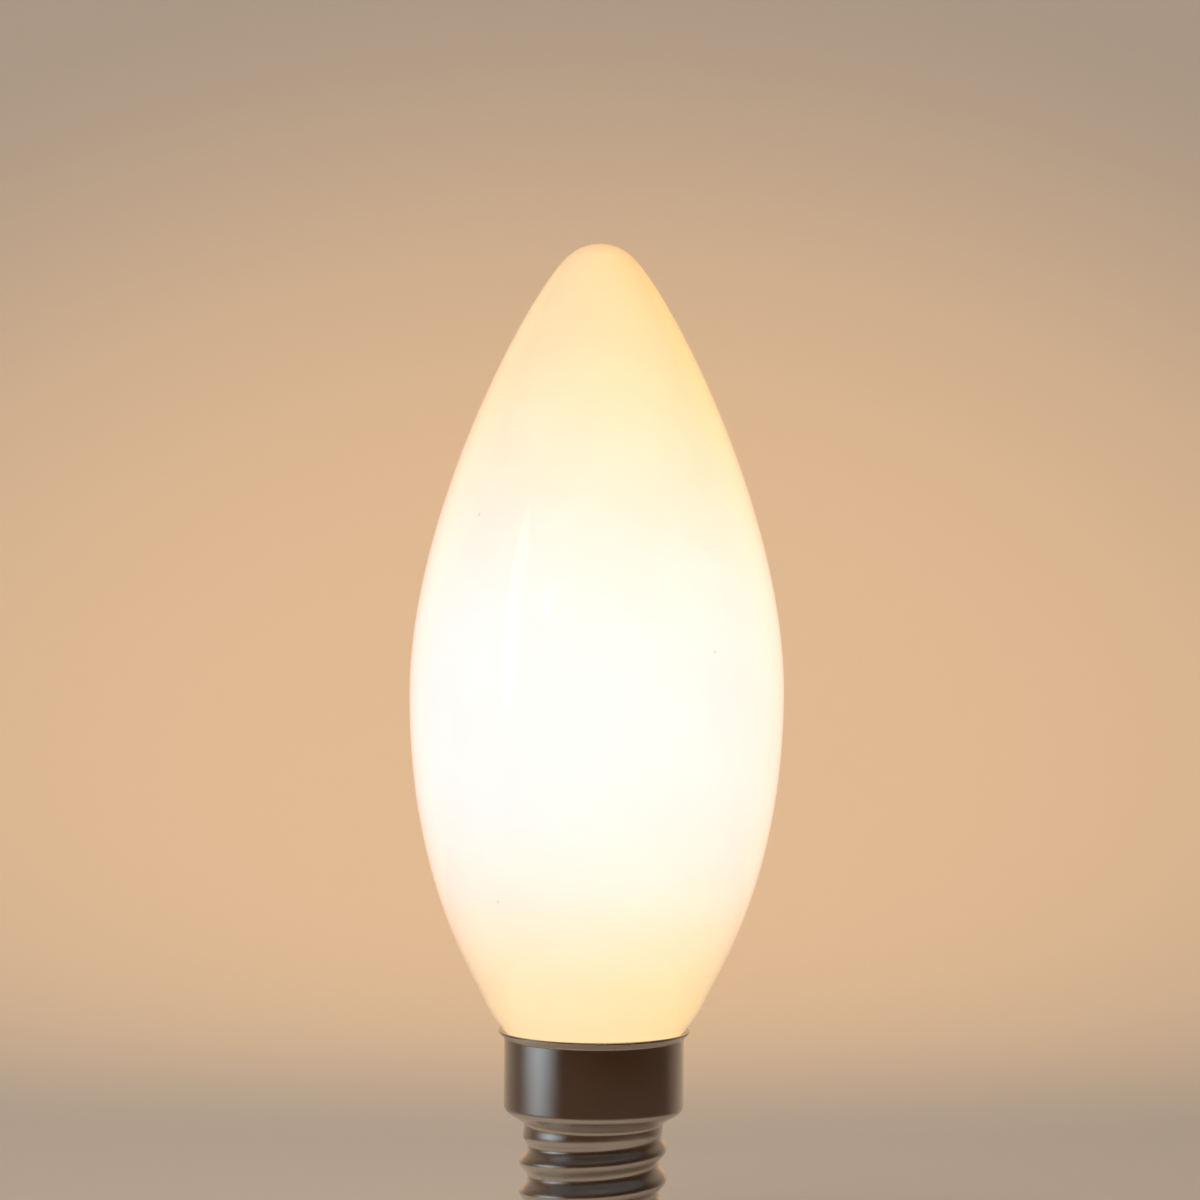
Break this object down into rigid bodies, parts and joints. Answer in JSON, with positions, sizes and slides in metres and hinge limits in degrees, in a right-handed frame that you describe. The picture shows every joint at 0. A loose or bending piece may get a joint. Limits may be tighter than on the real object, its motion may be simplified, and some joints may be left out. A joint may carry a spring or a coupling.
{
  "type": "candle light bulb",
  "caption": "Opal glass candle bulb, egg-shaped and drawn to a blunt point, on a small plated screw cap with a flared rim, a black insulator and a centre contact.",
  "frame": {"origin": "centre of the contact's flat face, at the bottom of the cap", "axes": "+Z along the bulb's axis, from the contact towards the tip"},
  "size_m": [0.035, 0.035, 0.0984],
  "materials": {
    "opal_glass": "gloss, milky white all through, lit from inside",
    "plated_sheet": "bright nickel plate on rolled sheet",
    "cement": "matt, cast in place",
    "black_glass": "gloss black",
    "contact_metal": "bright plated metal"
  },
  "bodies": {
    "root": {"glass_envelope": "opal_glass", "screw_cap": "plated_sheet", "capping_cement": "cement", "insulator": "black_glass", "centre_contact": "contact_metal"}
  },
  "joints": []
}
